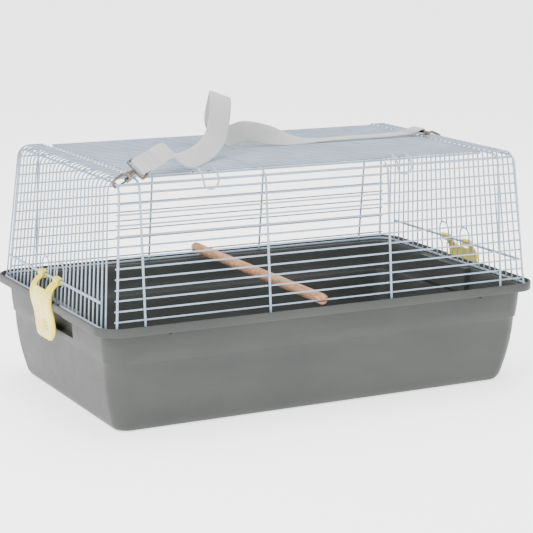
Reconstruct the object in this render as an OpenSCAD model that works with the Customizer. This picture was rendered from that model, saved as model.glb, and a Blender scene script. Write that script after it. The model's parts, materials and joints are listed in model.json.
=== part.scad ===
// Travel cage for birds and small animals: a moulded tray, a welded wire cover with a door
// in its roof, two end clips, a wooden perch and a webbing carrying strap on two snap hooks.
// Origin: centre of the tray's underside. +X along the length, +Y to the back, +Z up.

/* [Tray] */
// Length over the rim
tray_length = 570; // [560:1:580]
// Width over the rim
tray_width = 345; // [340:1:350]
// Height of the top of the rim
rim_height = 125.3; // [124:0.1:127]
// Wall thickness
tray_wall = 2.5; // [2:0.1:3]
// Radius of the rim's corners, seen from above
rim_corner = 29; // [25:1:35]

/* [Wire cover] */
// Diameter of the hoops, the door frame and the door's cross wires
hoop_wire = 2.6; // [2.4:0.1:2.8]
// Diameter of the base ring, the top rails and the clip rails
rail_wire = 3; // [2.8:0.1:3.2]
// Diameter of the mesh wires
mesh_wire = 1.9; // [1.7:0.1:2]
// Distance between the long wires of the front and the back
row_pitch = 11.4; // [11:0.1:11.8]
// Number of long wires on the front, and on the back
rows = 13; // [11:1:13]
// Number of upright wires on each end
end_wires = 27; // [27]
// Lean of the front and back panels, in degrees
side_lean = 5.6; // [5:0.1:6]
// Lean of the end panels, in degrees
end_lean = 4.2; // [4:0.1:4.5]
// Height of the centre of the roof hoops
hoop_height = 280.4; // [280:0.1:281]

/* [Roof door] */
// Half the length of the door, to the middle of its side wires
door_half = 221; // [219:0.5:222]
// Depth of the door from its front wire to the middle of the roof
door_front = 131; // [129:0.5:132]
// Depth of the door from the middle of the roof to its back wire
door_back = 131; // [129:0.5:132]

/* [End clips] */
// Half the width of a clip's body
clip_half = 31; // [30:0.5:32]
// Width of each finger that snaps over the clip rail
finger_width = 14; // [12:0.5:15]
// Thickness of a clip
clip_wall = 2.6; // [2.2:0.1:3]

/* [Perch] */
// Diameter of the perch
perch_diameter = 13.4; // [12:0.1:13.4]
// Length of the perch
perch_length = 334; // [332:1:346]
// Distance of the perch from the middle of the cage
perch_x = -13; // [-60:1:60]

/* [Strap] */
// Width of the webbing
strap_width = 25; // [22:1:26]
// Thickness of the webbing
strap_thick = 1.8; // [1.4:0.1:2]

/* [Hidden] */
$fn = 48;

// Gap between pieces that move past each other
gap = 0.3;
// Depth to which welded wires sink into each other
weld = 0.35;

half_x = tray_length / 2;
half_y = tray_width / 2;
lip_height = 5.6;
shelf_z = rim_height - lip_height;
skirt_z = rim_height - 9.8;
under_shelf_z = shelf_z - tray_wall;
ring_z = shelf_z + gap + rail_wire / 2;

// Plan size of the base ring, to the middle of its wire
ring_x = half_x - 9.4;
ring_y = half_y - 5.3;
ring_corner = 20;

// Middle of the hoops and of the end wires at the height of the base ring
hoop_base_y = ring_y - (rail_wire + hoop_wire) / 2 + weld + 0.5;
end_base_x = ring_x - (rail_wire + mesh_wire) / 2 + weld;

// Hoops, by their distance from the middle of the cage
inner_hoop_x = 79;
outer_hoop_x = 231.5;
corner_base_x = 265.2;
corner_top_x = 255.3;
hoop_bend = 12;
corner_hoop_height = hoop_height - 2.5;

// Roof wires lie on the hoops; their bend at the end panels
roof_z = hoop_height + (hoop_wire + mesh_wire) / 2 - weld;
end_bend = 15;
end_half_base = 154;
end_half_top = 137.5;

row_base_z = ring_z + 9.2;

function side_y(z) = hoop_base_y - (z - ring_z) * tan(side_lean);
function end_x(z) = end_base_x - (z - ring_z) * tan(end_lean);
function bend_start_z(top, bend, lean) = top - bend + bend * sin(lean);
function side_bend_y(top) =
    side_y(bend_start_z(top, hoop_bend, side_lean)) - hoop_bend * cos(side_lean);

end_bend_z = roof_z - end_bend;
end_top_z = bend_start_z(roof_z, end_bend, end_lean);
end_bend_x = end_x(end_top_z) - end_bend * cos(end_lean);

// Half spread of an end panel's wires at height z
function end_spread(z) =
    end_half_base + (end_half_top - end_half_base) * (z - ring_z) / (end_top_z - ring_z);
function end_y(i, z) = end_spread(z) * (2 * i / (end_wires - 1) - 1);

// Top rails, inside the bends of the hoops
rail_angle = 50;
rail_inset = hoop_bend - (hoop_wire + rail_wire) / 2 + weld;
top_rail_y = side_bend_y(hoop_height) + rail_inset * cos(rail_angle);
top_rail_z = hoop_height - hoop_bend + rail_inset * sin(rail_angle);

// Clip rails, outside the end wires
clip_rail_z = ring_z + 27.5;
clip_rail_x = end_x(clip_rail_z) + (rail_wire + mesh_wire) / 2 - weld;
clip_rail_half = 141;

// Each arch joins two neighbouring end wires, and the fingers sit between them
arch_left_pair = 11;
arch_right_pair = 15;
arch_half = 10;
arch_low_z = clip_rail_z - 8;
arch_side_z = clip_rail_z - 3;
arch_spring_z = clip_rail_z + 9.5;
function pair_y(i) = (end_y(i, clip_rail_z) + end_y(i + 1, clip_rail_z)) / 2;
clip_y = (pair_y(arch_left_pair) + pair_y(arch_right_pair)) / 2;
finger_y = (pair_y(arch_right_pair) - pair_y(arch_left_pair)) / 2;

// ---- Shared shapes ----

// A straight wire from a to b
module rod(a, b, d) {
    v = b - a;
    translate(a) rotate([0, acos(v.z / norm(v)), atan2(v.y, v.x)]) cylinder(h = norm(v), d = d);
}

// A bent wire: a tube with `sides` sides swept along points
function unit(v) = v / norm(v);
function tangent(p, i) = unit(p[min(i + 1, len(p) - 1)] - p[max(i - 1, 0)]);
module tube(path, d, side = [0, 0, 1], sides = 8) {
    n = len(path);
    points = [for (i = [0 : n - 1])
        let (t = tangent(path, i), u = unit(cross(side, t)), v = cross(t, u))
        for (k = [0 : sides - 1])
            path[i] + d / 2 * (u * cos(360 * k / sides) + v * sin(360 * k / sides))];
    walls = [for (i = [0 : n - 2], k = [0 : sides - 1])
        let (a = i * sides + k, b = i * sides + (k + 1) % sides)
        for (face = [[a, b, b + sides], [a, b + sides, a + sides]]) face];
    ends = [[for (k = [sides - 1 : -1 : 0]) k], [for (k = [0 : sides - 1]) (n - 1) * sides + k]];
    polyhedron(points, concat(walls, ends));
}

function arc(c, r, from, to, steps) =
    [for (s = [0 : steps]) let (a = from + (to - from) * s / steps) c + r * [cos(a), sin(a)]];

// Both ends: the left end is the right one turned half round
module both_ends() {
    mirror([1, 0, 0]) children();
    mirror([0, 1, 0]) children();
}

// Both sides, front and back
module both_sides() {
    children();
    mirror([0, 1, 0]) children();
}

// ---- Tray ----

// Outer wall of the tray: [height, distance in from the rim's outer face]
wall_outline = [
    [0, 36], [0.8, 33.3], [3, 30.4], [10, 27], [20, 24.5], [28, 22.5], [37, 20.7], [50, 18.5],
    [65, 16.7], [80.2, 15.7], [81.6, 14.1], [95, 12.6], [110, 11.6]
];
// Rim: wall to shelf, down the skirt, up and over the lip, and back along the shelf
rim_outline = [
    [under_shelf_z, 11.1], [under_shelf_z, tray_wall], [skirt_z, tray_wall], [skirt_z, 0.5],
    [skirt_z + 0.8, 0], [rim_height - 1, 0], [rim_height, 1], [rim_height, tray_wall - 0.5],
    [rim_height - 0.5, tray_wall], [shelf_z, tray_wall + 0.3], [shelf_z, 13]
];
// Inner face of the wall, down to the floor
inner_outline = concat(
    [for (i = [len(wall_outline) - 1 : -1 : 3]) wall_outline[i] + [0, tray_wall + 0.2]],
    [[4.6, 33.2], [tray_wall, 38.4]]
);
corner_steps = 8;
function corner_radius(inset) = rim_corner - 0.45 * inset;
function tray_ring(z, inset) =
    let (r = corner_radius(inset), x = half_x - inset - r, y = half_y - inset - r)
    [for (c = [0 : 3], s = [0 : corner_steps])
        let (a = 90 * (c + s / corner_steps), sx = c == 0 || c == 3 ? 1 : -1, sy = c < 2 ? 1 : -1)
        [sx * x + r * cos(a), sy * y + r * sin(a), z]];

module tray_shell() {
    outline = concat(wall_outline, rim_outline, inner_outline);
    n = 4 * (corner_steps + 1);
    m = len(outline);
    points = [for (p = outline) for (q = tray_ring(p[0], p[1])) q];
    walls = [for (i = [0 : m - 2], k = [0 : n - 1])
        let (a = i * n + k, b = i * n + (k + 1) % n)
        for (face = [[a, b + n, b], [a, a + n, b + n]]) face];
    ends = [[for (k = [0 : n - 1]) k], [for (k = [n - 1 : -1 : 0]) (m - 1) * n + k]];
    polyhedron(points, concat(walls, ends));
}

// Finger pocket under the rim behind each clip, and the seat that takes the clip past the rim
pocket_start_y = clip_y - 62;
pocket_end_y = clip_y + 36;
pocket_length = pocket_end_y - pocket_start_y;
pocket_low_z = 90;
pocket_depth = 8;
seat_half = clip_half + 1.5;
seat_depth = 5.3;
pocket_face_x = half_x - 12.6 - pocket_depth;

module pocket_backing() {
    translate([pocket_face_x - tray_wall, pocket_start_y - tray_wall, pocket_low_z - tray_wall])
        cube([pocket_depth + 1.5, pocket_length + 2 * tray_wall, shelf_z - pocket_low_z + tray_wall]);
}
module pocket_cut() {
    translate([pocket_face_x, pocket_start_y, pocket_low_z])
        cube([2 * pocket_depth, pocket_length, under_shelf_z - pocket_low_z]);
}
module seat_backing() {
    translate([half_x - seat_depth - 2.3, clip_y - seat_half - 3, under_shelf_z])
        cube([seat_depth + 1, 2 * seat_half + 6, rim_height - under_shelf_z]);
}
module seat_cut() {
    translate([half_x - seat_depth, clip_y - seat_half, skirt_z - 5])
        cube([20, 2 * seat_half, 20]);
}

// Slots and studs under the rim, front and back
slot_x = [-205.6, 199.6];
stud_x = [-199, 205.7];
stud_z = 113.6;
stud_length = 10;
stud_diameter = 6;
module rim_slot() {
    translate([-1.5, half_y - 20, stud_z - 3.2]) cube([3, 14, 6.4]);
}

module tray() {
    color([0.47, 0.48, 0.47])
    difference() {
        union() {
            tray_shell();
            both_ends() {
                pocket_backing();
                seat_backing();
            }
        }
        both_ends() {
            pocket_cut();
            seat_cut();
        }
        both_sides() for (x = slot_x) translate([x, 0, 0]) rim_slot();
    }
}

module rim_studs() {
    color([0.44, 0.45, 0.44])
    both_sides() for (x = stud_x)
        translate([x, half_y - 14, stud_z]) rotate([-90, 0, 0])
            cylinder(h = stud_length, d = stud_diameter);
}

// ---- Wire cover ----

wire_colour = [0.82, 0.87, 0.92];

module base_ring() {
    color(wire_colour) {
        straight_x = ring_x - ring_corner;
        straight_y = ring_y - ring_corner;
        both_sides() rod([-straight_x, ring_y, ring_z], [straight_x, ring_y, ring_z], rail_wire);
        for (s = [-1, 1])
            rod([s * ring_x, -straight_y, ring_z], [s * ring_x, straight_y, ring_z], rail_wire);
        for (c = [0 : 3])
            translate([(c == 0 || c == 3 ? 1 : -1) * straight_x, (c < 2 ? 1 : -1) * straight_y, ring_z])
                rotate([0, 0, 90 * c]) rotate_extrude(angle = 90)
                    translate([ring_corner, 0]) circle(d = rail_wire);
    }
}

function corner_x(z) = corner_base_x + (corner_top_x - corner_base_x) * (z - ring_z)
    / (corner_hoop_height - hoop_bend - ring_z);

// A hoop's straight leg on the back panel, from the base ring to the bend
module hoop_leg(base_x, top_x, top) {
    z = bend_start_z(top, hoop_bend, side_lean);
    rod([base_x, side_y(ring_z), ring_z], [top_x, side_y(z), z], hoop_wire);
}
module hoop_legs() {
    for (s = [-1, 1]) {
        hoop_leg(s * inner_hoop_x, s * inner_hoop_x, hoop_height);
        hoop_leg(s * outer_hoop_x, s * outer_hoop_x, hoop_height);
        hoop_leg(s * corner_base_x, s * corner_top_x, corner_hoop_height);
    }
}
module back_hoop_legs() { color(wire_colour) hoop_legs(); }
module front_hoop_legs() { color(wire_colour) mirror([0, 1, 0]) hoop_legs(); }

// Points of the bend from a back leg onto the roof, turned through `turn` degrees: [y, z]
function bend_points(top, turn, steps) =
    arc([side_bend_y(top), top - hoop_bend], hoop_bend, side_lean, side_lean + turn, steps);
// The part of a hoop above its legs: a bend, a bar across the roof and a bend
module roof_hoop(x, top) {
    half = bend_points(top, 90 - side_lean, 6);
    other = [for (i = [len(half) - 1 : -1 : 0]) [-half[i].x, half[i].y]];
    tube([for (p = concat(half, other)) [x, p[0], p[1]]], hoop_wire, [1, 0, 0], 10);
}
module roof_hoops() {
    color(wire_colour) for (s = [-1, 1]) {
        roof_hoop(s * outer_hoop_x, hoop_height);
        roof_hoop(s * corner_top_x, corner_hoop_height);
    }
}
// The inner hoops end in short bends on the top rails
module hoop_stubs() {
    color(wire_colour) both_sides() for (s = [-1, 1])
        tube([for (p = bend_points(hoop_height, 62, 5)) [s * inner_hoop_x, p[0], p[1]]],
            hoop_wire, [1, 0, 0], 10);
}

// Long wires of one panel, inside the hoops
nub = 0.6;
module long_wires() {
    for (j = [0 : rows - 1]) {
        z = row_base_z + j * row_pitch;
        y = side_y(z) - (hoop_wire + mesh_wire) / 2 + weld;
        x = corner_x(z) + hoop_wire / 2 + nub;
        rod([-x, y, z], [x, y, z], mesh_wire);
    }
}
module back_wires() { color(wire_colour) long_wires(); }
module front_wires() { color(wire_colour) mirror([0, 1, 0]) long_wires(); }

module top_rails() {
    color(wire_colour) both_sides()
        rod([-corner_top_x, top_rail_y, top_rail_z], [corner_top_x, top_rail_y, top_rail_z], rail_wire);
}

// Upright wires of the right end; the two pairs under the arches stop at the arches
function in_arch(i) = i == arch_left_pair || i == arch_left_pair + 1
    || i == arch_right_pair || i == arch_right_pair + 1;
arch_rise = sqrt(arch_half * arch_half - 5.8 * 5.8);
module end_panel_wires() {
    for (i = [0 : end_wires - 1]) {
        low_z = in_arch(i) ? arch_spring_z + arch_rise : ring_z;
        rod([end_x(low_z), end_y(i, low_z), low_z],
            [end_x(end_top_z), end_y(i, end_top_z), end_top_z], mesh_wire);
    }
}
// Each end wire bends onto the roof and runs to the outer hoop
roof_wire_end = outer_hoop_x - 1.5;
module end_roof_wires() {
    for (i = [0 : end_wires - 1]) translate([0, end_y(i, end_top_z), 0]) union() {
        rod([roof_wire_end, 0, roof_z], [end_bend_x, 0, roof_z], mesh_wire);
        translate([end_bend_x, 0, end_bend_z]) rotate([90, 0, 0])
            rotate([0, 0, end_lean]) rotate_extrude(angle = 90 - end_lean)
                translate([end_bend, 0]) circle(d = mesh_wire);
    }
}
module right_end_wires() { color(wire_colour) mirror([0, 1, 0]) end_panel_wires(); }
module left_end_wires() { color(wire_colour) mirror([1, 0, 0]) end_panel_wires(); }
module right_roof_wires() { color(wire_colour) end_roof_wires(); }
module left_roof_wires() { color(wire_colour) mirror([1, 0, 0]) end_roof_wires(); }

module clip_rail(s) {
    rod([s * clip_rail_x, -clip_rail_half, clip_rail_z],
        [s * clip_rail_x, clip_rail_half, clip_rail_z], rail_wire);
}
module left_clip_rail() { color(wire_colour) clip_rail(-1); }
module right_clip_rail() { color(wire_colour) clip_rail(1); }

// One wire that rises from the base ring, widens under the rail, passes over the finger
// in a half circle and comes down again
module clip_arch(pair) {
    y = pair_y(pair);
    side = concat(
        [[end_y(pair + 1, ring_z) - y, ring_z], [end_y(pair + 1, arch_low_z) - y, arch_low_z],
         [arch_half - 1.2, arch_low_z + 2.5], [arch_half, arch_side_z]],
        arc([0, arch_spring_z], arch_half, 0, 90, 8)
    );
    other = [for (i = [len(side) - 2 : -1 : 0]) let (p = side[i])
        [i == 0 ? end_y(pair, ring_z) - y : i == 1 ? end_y(pair, arch_low_z) - y : -p[0], p[1]]];
    tube([for (p = concat(side, other)) [end_x(p[1]), y + p[0], p[1]]], mesh_wire, [1, 0, 0]);
}
module clip_arches() {
    clip_arch(arch_left_pair);
    clip_arch(arch_right_pair);
}
module right_clip_arches() { color(wire_colour) mirror([0, 1, 0]) clip_arches(); }
module left_clip_arches() { color(wire_colour) mirror([1, 0, 0]) clip_arches(); }

// ---- Roof door ----

door_corner = 5;
module door_frame() {
    color(wire_colour) {
        x = door_half;
        for (y = [-door_front, door_back])
            rod([-x + door_corner, y, hoop_height], [x - door_corner, y, hoop_height], hoop_wire);
        for (s = [-1, 1])
            rod([s * x, -door_front + door_corner, hoop_height],
                [s * x, door_back - door_corner, hoop_height], hoop_wire);
        for (c = [0 : 3])
            translate([(c == 0 || c == 3 ? 1 : -1) * (x - door_corner),
                       c < 2 ? door_back - door_corner : -door_front + door_corner, hoop_height])
                rotate([0, 0, 90 * c]) rotate_extrude(angle = 90)
                    translate([door_corner, 0]) circle(d = hoop_wire);
    }
}

// Long wires on top of the frame, at the pitch of the roof's end wires
door_pitch = 2 * end_half_top / (end_wires - 1);
door_rows = 12;
module door_wires() {
    color(wire_colour) for (i = [-door_rows : door_rows])
        rod([-door_half - 1.5, i * door_pitch, roof_z], [door_half + 1.5, i * door_pitch, roof_z], mesh_wire);
}
module door_cross_wires() {
    color(wire_colour) for (s = [-1, 1])
        rod([s * inner_hoop_x, -door_front, hoop_height],
            [s * inner_hoop_x, door_back, hoop_height], hoop_wire);
}

// Wire loops from the door's back wire around the back top rail
hinge_x = [-170, 0, 170];
hinge_loop = rail_wire / 2 + gap + mesh_wire / 2;
module hinge_path(x) {
    c = [top_rail_y, top_rail_z];
    loop = arc(c, hinge_loop, 100, -200, 14);
    path = concat([[door_back, hoop_height + 0.8], [door_back + 8, hoop_height + 0.4]], loop);
    tube([for (p = path) [x, p[0], p[1]]], mesh_wire, [1, 0, 0]);
}
module door_hinge_loops() { color(wire_colour) for (x = hinge_x) hinge_path(x); }

// U-shaped spring latches that snap over the front top rail
latch_x = [-148.5, 99];
latch_half = 9.2;
latch_wire = 2.2;
module latch(x) {
    bow = arc([0, 275.5], latch_half, 0, -90, 7);
    leg = [[latch_half, -127, 281.2], [latch_half, -131, 283.9], [latch_half, -136, 287.2],
           [latch_half, -142, 287.6], [latch_half, -149, 284], [latch_half, -153.3, 279.3]];
    half = concat(leg, [for (p = bow) [p[0], -154.8, p[1]]]);
    other = [for (i = [len(half) - 2 : -1 : 0]) [-half[i].x, half[i].y, half[i].z]];
    translate([x, 0, 0]) tube([for (p = concat(half, other)) p], latch_wire, [0.3, 1, 0.3]);
}
module door_latches() { color(wire_colour) for (x = latch_x) latch(x); }

// ---- End clips ----

clip_colour = [0.93, 0.92, 0.68];
clip_bore = rail_wire / 2 + 0.08;
curl_wall = 2.8;
curl_mouth = 33;
// Middle of a clip's sheet, from the fingers down: [out from the rail, up from the rail]
clip_sheet = [
    [3.2, -2.2], [8, -6], [11.8, -11], [13.8, -17], [14, -25], [12.6, -33],
    [10.2, -42], [8.8, -52], [8.4, -62], [9.4, -72]
];
// Outline of a strip of even thickness along a line of points
function normal_2d(p, i) = let (t = tangent(p, i)) [-t.y, t.x];
function strip(p, w) = concat(
    [for (i = [0 : len(p) - 1]) p[i] + w / 2 * normal_2d(p, i)],
    [for (i = [len(p) - 1 : -1 : 0]) p[i] - w / 2 * normal_2d(p, i)]);

clip_top = -12;
clip_waist = -50;
clip_waist_half = clip_half - 2;
clip_foot = -72;
clip_foot_round = 17;
// Front view of half a clip, between its fingers and its rounded foot: [across, up]
function clip_half_outline() = concat(
    [[finger_y + finger_width / 2, 8], [finger_y + finger_width / 2, -6], [clip_half, clip_top - 6],
     [clip_waist_half, clip_waist]],
    arc([clip_waist_half - clip_foot_round, clip_foot + clip_foot_round], clip_foot_round, 0, -90, 8));
module clip_face() {
    half = clip_half_outline();
    difference() {
        polygon(concat(half, [for (i = [len(half) - 1 : -1 : 0]) [-half[i].x, half[i].y]]));
        notch = finger_y - finger_width / 2;
        polygon([[-notch, 20], [-notch, clip_top + 2], [2 - notch, clip_top],
                 [notch - 2, clip_top], [notch, clip_top + 2], [notch, 20]]);
    }
}
grip_ribs = 4;
grip_pitch = 3.6;
grip_length = 16;
grip_slope = 18;
module grip_rib(k) {
    translate([9.6, -8 + k, clip_foot + 12 + k * grip_pitch]) rotate([-grip_slope, 0, 0])
        cube([1.2, grip_length, 1.5], center = true);
}
// A finger's curl, open towards the cage, around the rail
module finger_curl() {
    rotate([90, 0, 0]) translate([0, 0, -finger_width / 2]) linear_extrude(finger_width) difference() {
        circle(clip_bore + curl_wall);
        circle(clip_bore);
        polygon([[0, 0], 9 * [-cos(curl_mouth), sin(curl_mouth)], [-12, 0],
                 9 * [-cos(curl_mouth), -sin(curl_mouth)]]);
    }
}
module clip_body() {
    translate([clip_rail_x, clip_y, clip_rail_z]) {
        for (s = [-1, 1]) translate([0, s * finger_y, 0]) finger_curl();
        intersection() {
            rotate([90, 0, 0]) translate([0, 0, -50]) linear_extrude(100)
                polygon(strip(clip_sheet, clip_wall));
            rotate([90, 0, 90]) linear_extrude(40) clip_face();
        }
        for (k = [0 : grip_ribs - 1]) grip_rib(k);
    }
}
module right_clip() { color(clip_colour) mirror([0, 1, 0]) clip_body(); }
module left_clip() { color(clip_colour) mirror([1, 0, 0]) clip_body(); }

// ---- Perch ----

perch_z = row_base_z + 1.6;
slot_height = mesh_wire + 2 * gap;
perch_slot_y = side_y(row_base_z) - (hoop_wire + mesh_wire) / 2 + weld - mesh_wire / 2 - 0.5;
module perch() {
    color([0.76, 0.58, 0.48])
    difference() {
        translate([perch_x, -perch_length / 2, perch_z]) rotate([-90, 0, 0])
            cylinder(h = perch_length, d = perch_diameter);
        both_sides() translate([perch_x - perch_diameter, perch_slot_y, row_base_z - slot_height / 2])
            cube([2 * perch_diameter, 20, slot_height]);
    }
}

// ---- Snap hooks ----

hook_colour = [0.42, 0.38, 0.36];
// Where each hook holds its wire, and which way it points: turn about Z, rise, roll
left_hook_at = [-255.3, -142.7, 277.9];
left_hook_turn = -4;
left_hook_rise = 30;
left_hook_roll = -75;
left_loop_roll = 36;
right_hook_at = [corner_top_x, 1.5 * 2 * end_half_top / (end_wires - 1), corner_hoop_height];
right_hook_turn = 180;
right_hook_rise = 22;
right_hook_roll = -90;
right_loop_roll = 0;
// Bend of the right strap end at its loop, down towards the roof
right_end_pitch = 30;

// Puts children on a hook's line, 1 mm on from the wire it holds, X along the hook
module on_hook(at, turn, rise, roll) {
    translate(at) rotate([roll, -rise, turn]) translate([1, 0, 0]) children();
}
module on_left_hook(roll) { on_hook(left_hook_at, left_hook_turn, left_hook_rise, roll) children(); }
module on_right_hook(roll) { on_hook(right_hook_at, right_hook_turn, right_hook_rise, roll) children(); }

throat = 4.6;
hook_thick = 3.2;
gate_pivot_x = 11;
gate_pin = 1.6;
gate_thick = 2.4;
barrel_x = 15.5;
barrel_end = 22;
barrel_d = 6;
stem_d = 2.9;
stem_gap = 0.08;
loop_x = 24;
loop_depth = 6.5;
loop_half = strap_width / 2 + 1.7;
loop_wire = 3;

// Hook in its own X-Y plane: nose at the low end, shank on the -Y side, gate on the +Y side
module hook_body() {
    bend = [10, -throat, 0];
    difference() {
        union() {
            rotate([0, 0, 90]) rotate_extrude(angle = 180) translate([throat, 0]) circle(d = hook_thick);
            rod([0, throat, 0], [1, throat, 0], hook_thick);
            rod([0, -throat, 0], bend, hook_thick);
            translate(bend) sphere(d = hook_thick);
            rod(bend, [14.5, -2, 0], hook_thick);
            translate([13.6, -3.4, -2.5]) cube([2.6, 9.6, 5]);
            for (s = [-1, 1]) translate([9.2, 2.8, s * 2 - 0.5]) cube([5, 3.4, 1]);
            translate([gate_pivot_x, throat, -2.5]) cylinder(h = 5, d = gate_pin);
            translate([barrel_x, 0, 0]) rotate([0, 90, 0]) cylinder(h = barrel_end - barrel_x, d = barrel_d);
        }
        translate([barrel_x + 1.5, 0, 0]) rotate([0, 90, 0]) cylinder(h = 10, d = stem_d + 2 * stem_gap);
    }
}
// Sprung gate: a hub on the pin and a bar to the nose
module hook_gate() {
    difference() {
        union() {
            translate([gate_pivot_x, throat, -1.3]) cylinder(h = 2.6, d = 3.6);
            rod([1.3, throat, 0], [gate_pivot_x - 1.2, throat, 0], gate_thick);
        }
        translate([gate_pivot_x, throat, -3]) cylinder(h = 6, d = gate_pin + 0.14);
    }
}
// Stem in the barrel and the rectangular loop that holds the webbing
module swivel_loop() {
    translate([barrel_x + 2, 0, 0]) rotate([0, 90, 0]) cylinder(h = loop_x - barrel_x - 2, d = stem_d);
    translate([barrel_end + gap, 0, 0]) rotate([0, 90, 0]) cylinder(h = loop_x - barrel_end - gap, d = 4.6);
    corners = [[loop_x, -loop_half], [loop_x, loop_half], [loop_x + loop_depth, loop_half],
               [loop_x + loop_depth, -loop_half]];
    for (k = [0 : 3]) {
        a = corners[k];
        b = corners[(k + 1) % 4];
        rod([a.x, a.y, 0], [b.x, b.y, 0], loop_wire);
        translate([a.x, a.y, 0]) sphere(d = loop_wire);
    }
}
// Sewn end of the webbing, folded round the loop's outer bar
strap_end_length = 20;
fold_r = loop_wire / 2 + 0.3;
module strap_end(pitch = 0) {
    translate([loop_x + loop_depth, 0, 0]) rotate([0, pitch, 0])
        translate([0, strap_width / 2, 0]) rotate([90, 0, 0])
        difference() {
            union() {
                cylinder(h = strap_width, r = fold_r + strap_thick);
                linear_extrude(strap_width)
                    polygon([[-1, fold_r + 1.5], [1.5, fold_r + 1.6], [6, strap_thick],
                             [strap_end_length, strap_thick], [strap_end_length, -strap_thick],
                             [6, -strap_thick], [1.5, -fold_r - 1.6], [-1, -fold_r - 1.5]]);
            }
            translate([0, 0, -1]) cylinder(h = strap_width + 2, r = fold_r);
        }
}
module left_hook() { color(hook_colour) on_left_hook(left_hook_roll) hook_body(); }
module left_gate() { color(hook_colour) on_left_hook(left_hook_roll) hook_gate(); }
module left_swivel() { color(hook_colour) on_left_hook(left_loop_roll) swivel_loop(); }
module left_strap_end() { color(strap_colour) on_left_hook(left_loop_roll) strap_end(); }
module right_hook() { color(hook_colour) on_right_hook(right_hook_roll) hook_body(); }
module right_gate() { color(hook_colour) on_right_hook(right_hook_roll) hook_gate(); }
module right_swivel() { color(hook_colour) on_right_hook(right_loop_roll) swivel_loop(); }
module right_strap_end() { color(strap_colour) on_right_hook(right_loop_roll) strap_end(right_end_pitch); }

// ---- Strap ----

strap_colour = [0.93, 0.92, 0.9];
// Route of the webbing from the left end to the right end: its middle, and its width's direction
strap_route = [
    [[-210, -146, 304.2], [-0.3, 0.81, 0.5]], [[-203, -146.4, 308.4], [-0.28, 0.82, 0.5]],
    [[-193, -143, 309.6], [-0.25, 0.8, 0.52]], [[-181, -132, 301], [-0.22, 0.82, 0.52]],
    [[-165, -117, 293], [-0.22, 0.82, 0.52]], [[-147, -100, 291.5], [-0.35, 0.72, 0.58]],
    [[-128, -82, 292.5], [-0.5, 0.6, 0.62]], [[-109, -64, 296], [-0.68, 0.45, 0.58]],
    [[-93, -48, 303], [-0.78, 0.45, 0.44]], [[-84, -40, 315], [-0.8, 0.45, 0.38]],
    [[-80, -37, 331], [-0.8, 0.45, 0.38]], [[-77, -33, 345], [-0.8, 0.45, 0.38]],
    [[-74, -25, 352], [-0.82, 0.44, 0.35]], [[-71, -16, 347], [-0.82, 0.44, 0.35]],
    [[-71, -9, 332], [-0.8, 0.44, 0.38]], [[-70, -4, 316], [-0.75, 0.44, 0.46]],
    [[-63, -1, 303], [-0.6, 0.4, 0.65]], [[-52, 2, 298], [-0.3, 0.35, 0.88]],
    [[-41, 4, 300], [-0.15, 0.3, 0.93]], [[-28, 5, 303], [-0.05, 0.25, 0.96]],
    [[-12, 6, 301], [0, 0.25, 0.96]], [[6, 7, 297], [0.05, 0.4, 0.9]],
    [[26, 9, 292.5], [0.05, 0.72, 0.68]], [[48, 12, 288], [0.05, 0.95, 0.3]],
    [[72, 15, 285.4], [0, 1, 0.05]], [[100, 18, 284.8], [0, 1, 0]],
    [[130, 20, 284.8], [0, 1, 0]], [[156, 20, 284.8], [0, 1, 0]], [[180, 18, 285.4], [0, 1, 0]],
    [[194, 16.5, 286.2], [0, 1, 0]], [[204.4, 15.9, 286.8], [0, 1, 0]]
];
rings_per_stretch = 2;
function curve(p, i, t) =
    let (n = len(p) - 1, a = p[max(i - 1, 0)], b = p[i], c = p[min(i + 1, n)], d = p[min(i + 2, n)])
    (2 * b + (c - a) * t + (2 * a - 5 * b + 4 * c - d) * t * t + (3 * b - a - 3 * c + d) * t * t * t) / 2;
function smooth_line(p) = concat(
    [for (i = [0 : len(p) - 2], k = [0 : rings_per_stretch - 1]) curve(p, i, k / rings_per_stretch)],
    [p[len(p) - 1]]);
module ribbon(middle, across, width, thick) {
    n = len(middle);
    w = width / 2;
    h = thick / 2;
    section = [[w, h / 2], [w - h / 2, h], [h / 2 - w, h], [-w, h / 2],
               [-w, -h / 2], [h / 2 - w, -h], [w - h / 2, -h], [w, -h / 2]];
    points = [for (i = [0 : n - 1])
        let (t = tangent(middle, i), v = unit(cross(t, across[i])), u = cross(v, t))
        for (q = section) middle[i] + q[0] * u + q[1] * v];
    walls = [for (i = [0 : n - 2], k = [0 : 7])
        let (a = i * 8 + k, b = i * 8 + (k + 1) % 8)
        for (face = [[a, b, b + 8], [a, b + 8, a + 8]]) face];
    ends = [[for (k = [7 : -1 : 0]) k], [for (k = [0 : 7]) (n - 1) * 8 + k]];
    polyhedron(points, concat(walls, ends));
}
module strap() {
    color(strap_colour)
    ribbon(smooth_line([for (p = strap_route) p[0]]), smooth_line([for (p = strap_route) p[1]]),
        strap_width, strap_thick);
}

tray();
rim_studs();
base_ring();
front_hoop_legs();
back_hoop_legs();
roof_hoops();
hoop_stubs();
front_wires();
back_wires();
top_rails();
left_end_wires();
right_end_wires();
left_roof_wires();
right_roof_wires();
left_clip_rail();
right_clip_rail();
left_clip_arches();
right_clip_arches();
door_frame();
door_wires();
door_cross_wires();
door_hinge_loops();
door_latches();
left_clip();
right_clip();
perch();
left_hook();
right_hook();
left_gate();
right_gate();
left_swivel();
right_swivel();
strap();
left_strap_end();
right_strap_end();
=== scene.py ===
# Looks of the travel cage: webbing, sewn ends, tray, end clips and perch are made here, and the
# wire cover, its door and the snap hooks are the CAD nodes with better materials.
import json
import math

import bmesh
import bpy
from mathutils import Matrix, Vector, noise


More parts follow.
